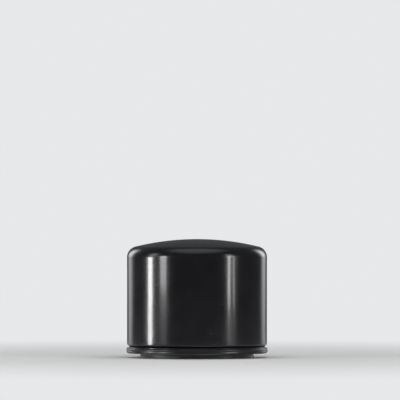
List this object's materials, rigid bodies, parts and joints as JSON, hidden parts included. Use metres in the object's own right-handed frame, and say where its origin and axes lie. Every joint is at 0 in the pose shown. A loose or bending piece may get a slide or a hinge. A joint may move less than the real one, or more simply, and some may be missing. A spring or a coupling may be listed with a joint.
{
  "type": "oil filter",
  "caption": "Short black spin-on engine oil filter: drawn can with crowned end, rolled seam, gasket, threaded base plate, pleated element, drainback and bypass valves.",
  "frame": {"origin": "centre of the gasket's sealing face, which is also the centre of the part's lowest plane", "axes": "+Z along the filter's axis, from the engine's pad towards the closed, crowned end; +X points at the joint clip of the pleated paper"},
  "size_m": [0.0766, 0.0766, 0.0643],
  "materials": {
    "can_paint": "gloss black stoved enamel",
    "lid_paint": "gloss black enamel, thin over the seam",
    "compound": "dried sealing compound",
    "gasket_rubber": "moulded black nitrile, lightly oiled",
    "plate_steel": "phosphated pressed steel",
    "valve_rubber": "moulded silicone rubber",
    "tinned_steel": "tinned sheet steel",
    "plastisol": "cured plastisol",
    "filter_paper": "resin-treated filter paper",
    "tube_steel": "perforated zinc-coated strip",
    "poppet_steel": "turned steel",
    "seal_rubber": "nitrile facing",
    "spring_steel": "drawn spring wire"
  },
  "bodies": {
    "housing": {"can": "can_paint", "seaming_lid": "lid_paint", "seam_compound": "compound", "gasket": "gasket_rubber", "base_plate": "plate_steel", "drainback_valve_hub": "valve_rubber", "lower_end_cap": "tinned_steel", "upper_end_cap": "tinned_steel", "lower_potting": "plastisol", "upper_potting": "plastisol", "pleated_media": "filter_paper", "media_clip": "tinned_steel", "centre_tube": "tube_steel", "bypass_cage": "tinned_steel", "bypass_seat": "tinned_steel", "bypass_spring": "spring_steel", "element_spring": "spring_steel"},
    "bypass_valve": {"bypass_poppet": "poppet_steel", "bypass_seal": "seal_rubber"},
    "drainback_lip": {"drainback_valve_lip": "valve_rubber"}
  },
  "joints": [
    {"name": "bypass_open", "type": "slide", "parent": "housing", "child": "bypass_valve", "axis": [0, 0, -1], "range_m": [0, 0.0025], "stiffness_N_per_m": 60, "springref_m": -0.0008, "deforming": ["bypass_spring"]},
    {"name": "drainback_lift", "type": "slide", "parent": "housing", "child": "drainback_lip", "axis": [0, 0, 1], "range_m": [0, 0.0012], "stiffness_N_per_m": 40, "springref_m": -0.0006}
  ]
}
